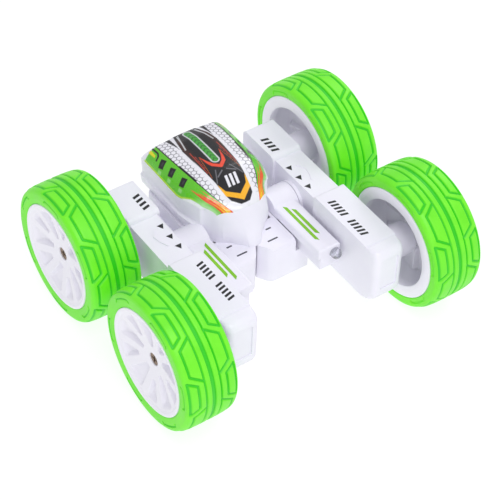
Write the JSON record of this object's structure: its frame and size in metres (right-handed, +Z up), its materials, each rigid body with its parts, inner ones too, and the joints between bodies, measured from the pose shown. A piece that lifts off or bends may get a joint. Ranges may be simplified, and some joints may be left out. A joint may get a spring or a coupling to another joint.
{
  "type": "radio-controlled stunt car",
  "caption": "Small radio-controlled stunt car: fat ribbed tyres on two side arms that swing right round a chassis with a printed pod on top and clear headlights in front.",
  "frame": {"origin": "on the ground, in the middle of the four wheels", "axes": "+X to the car's right along the wheel axles, nose towards -Y, +Z up"},
  "size_m": [0.152, 0.1368, 0.064],
  "materials": {
    "lime_tyre": "matte moulded rubber",
    "white_rim": "gloss",
    "white_shell": "gloss",
    "steel": "brushed",
    "brass_screw": "dull",
    "nylon_gear": "matte",
    "motor_can": "satin",
    "brass_pinion": "machined",
    "clear_lens": "clear epoxy",
    "battery_wrap": "heat-shrink sleeve",
    "circuit_board": "solder mask",
    "black_plastic": "matte",
    "printed_decal": "glossy printed film"
  },
  "bodies": {
    "chassis": {"chassis_tub": "white_shell", "pod_shell": "white_shell", "pod_decal": "printed_decal", "battery_door": "white_shell", "battery": "battery_wrap", "control_board": "circuit_board", "power_switch_body": "black_plastic", "chassis_screws": "steel", "swing_motor": "motor_can", "swing_gear_pin": "steel", "left_light_housing": "white_shell", "right_light_housing": "white_shell", "left_headlight": "clear_lens", "right_headlight": "clear_lens"},
    "switch_slider": {"power_switch_slider": "black_plastic"},
    "swing_frame": {"swing_axle": "steel", "swing_gear": "nylon_gear", "left_arm_inner_shell": "white_shell", "left_arm_outer_shell": "white_shell", "left_arm_end_cap": "white_shell", "left_drive_motor": "motor_can", "left_arm_screws": "steel", "right_arm_inner_shell": "white_shell", "right_arm_outer_shell": "white_shell", "right_arm_end_cap": "white_shell", "right_drive_motor": "motor_can", "right_arm_screws": "steel"},
    "swing_stage": {"swing_reduction_gear": "nylon_gear"},
    "swing_rotor": {"swing_motor_pinion": "brass_pinion"},
    "front_left_wheel": {"front_left_wheel_rim": "white_rim", "front_left_wheel_tyre": "lime_tyre", "front_left_wheel_axle": "steel", "front_left_wheel_screw": "brass_screw", "front_left_wheel_gear": "nylon_gear"},
    "rear_left_wheel": {"rear_left_wheel_rim": "white_rim", "rear_left_wheel_tyre": "lime_tyre", "rear_left_wheel_axle": "steel", "rear_left_wheel_screw": "brass_screw", "rear_left_wheel_gear": "nylon_gear"},
    "left_drive_rotor": {"left_motor_pinion": "brass_pinion"},
    "left_drive_stage": {"left_reduction_gear": "nylon_gear"},
    "left_idler_1": {"left_idler_gear_1": "nylon_gear"},
    "left_idler_2": {"left_idler_gear_2": "nylon_gear"},
    "front_right_wheel": {"front_right_wheel_rim": "white_rim", "front_right_wheel_tyre": "lime_tyre", "front_right_wheel_axle": "steel", "front_right_wheel_screw": "brass_screw", "front_right_wheel_gear": "nylon_gear"},
    "rear_right_wheel": {"rear_right_wheel_rim": "white_rim", "rear_right_wheel_tyre": "lime_tyre", "rear_right_wheel_axle": "steel", "rear_right_wheel_screw": "brass_screw", "rear_right_wheel_gear": "nylon_gear"},
    "right_drive_rotor": {"right_motor_pinion": "brass_pinion"},
    "right_drive_stage": {"right_reduction_gear": "nylon_gear"},
    "right_idler_1": {"right_idler_gear_1": "nylon_gear"},
    "right_idler_2": {"right_idler_gear_2": "nylon_gear"}
  },
  "joints": [
    {"name": "arm_swing", "type": "hinge", "parent": "chassis", "child": "swing_frame", "pos_m": [0, 0.011, 0.032], "axis": [1, 0, 0], "continuous": true},
    {"name": "power_switch_slide", "type": "slide", "parent": "chassis", "child": "switch_slider", "axis": [0, 1, 0], "range_m": [0, 0.004]},
    {"name": "swing_stage_spin", "type": "hinge", "parent": "chassis", "child": "swing_stage", "pos_m": [0, 0.023, 0.032], "axis": [1, 0, 0], "continuous": true},
    {"name": "swing_rotor_spin", "type": "hinge", "parent": "chassis", "child": "swing_rotor", "pos_m": [0, 0.0344, 0.032], "axis": [1, 0, 0], "continuous": true},
    {"name": "front_left_wheel_spin", "type": "hinge", "parent": "swing_frame", "child": "front_left_wheel", "pos_m": [-0.0635, -0.03636, 0.032], "axis": [1, 0, 0], "continuous": true},
    {"name": "rear_left_wheel_spin", "type": "hinge", "parent": "swing_frame", "child": "rear_left_wheel", "pos_m": [-0.0635, 0.03636, 0.032], "axis": [1, 0, 0], "continuous": true},
    {"name": "left_drive_rotor_spin", "type": "hinge", "parent": "swing_frame", "child": "left_drive_rotor", "pos_m": [-0.0427, -0.02678, 0.03802], "axis": [1, 0, 0], "continuous": true},
    {"name": "left_drive_stage_spin", "type": "hinge", "parent": "swing_frame", "child": "left_drive_stage", "pos_m": [-0.0427, -0.01818, 0.032], "axis": [1, 0, 0], "continuous": true},
    {"name": "left_idler_1_spin", "type": "hinge", "parent": "swing_frame", "child": "left_idler_1", "pos_m": [-0.0427, 0, 0.032], "axis": [1, 0, 0], "continuous": true},
    {"name": "left_idler_2_spin", "type": "hinge", "parent": "swing_frame", "child": "left_idler_2", "pos_m": [-0.0427, 0.01818, 0.032], "axis": [1, 0, 0], "continuous": true},
    {"name": "front_right_wheel_spin", "type": "hinge", "parent": "swing_frame", "child": "front_right_wheel", "pos_m": [0.0635, -0.03636, 0.032], "axis": [1, 0, 0], "continuous": true},
    {"name": "rear_right_wheel_spin", "type": "hinge", "parent": "swing_frame", "child": "rear_right_wheel", "pos_m": [0.0635, 0.03636, 0.032], "axis": [1, 0, 0], "continuous": true},
    {"name": "right_drive_rotor_spin", "type": "hinge", "parent": "swing_frame", "child": "right_drive_rotor", "pos_m": [0.0427, -0.02678, 0.03802], "axis": [1, 0, 0], "continuous": true},
    {"name": "right_drive_stage_spin", "type": "hinge", "parent": "swing_frame", "child": "right_drive_stage", "pos_m": [0.0427, -0.01818, 0.032], "axis": [1, 0, 0], "continuous": true},
    {"name": "right_idler_1_spin", "type": "hinge", "parent": "swing_frame", "child": "right_idler_1", "pos_m": [0.0427, 0, 0.032], "axis": [1, 0, 0], "continuous": true},
    {"name": "right_idler_2_spin", "type": "hinge", "parent": "swing_frame", "child": "right_idler_2", "pos_m": [0.0427, 0.01818, 0.032], "axis": [1, 0, 0], "continuous": true}
  ],
  "couplings": [
    {"joint": "swing_stage_spin", "follows": "arm_swing", "ratio": -3},
    {"joint": "swing_rotor_spin", "follows": "arm_swing", "ratio": 11.25},
    {"joint": "rear_left_wheel_spin", "follows": "front_left_wheel_spin", "ratio": 1},
    {"joint": "left_drive_stage_spin", "follows": "front_left_wheel_spin", "ratio": -1},
    {"joint": "left_idler_1_spin", "follows": "front_left_wheel_spin", "ratio": 1},
    {"joint": "left_idler_2_spin", "follows": "front_left_wheel_spin", "ratio": -1},
    {"joint": "left_drive_rotor_spin", "follows": "front_left_wheel_spin", "ratio": 4.25},
    {"joint": "rear_right_wheel_spin", "follows": "front_right_wheel_spin", "ratio": 1},
    {"joint": "right_drive_stage_spin", "follows": "front_right_wheel_spin", "ratio": -1},
    {"joint": "right_idler_1_spin", "follows": "front_right_wheel_spin", "ratio": 1},
    {"joint": "right_idler_2_spin", "follows": "front_right_wheel_spin", "ratio": -1},
    {"joint": "right_drive_rotor_spin", "follows": "front_right_wheel_spin", "ratio": 4.25}
  ]
}
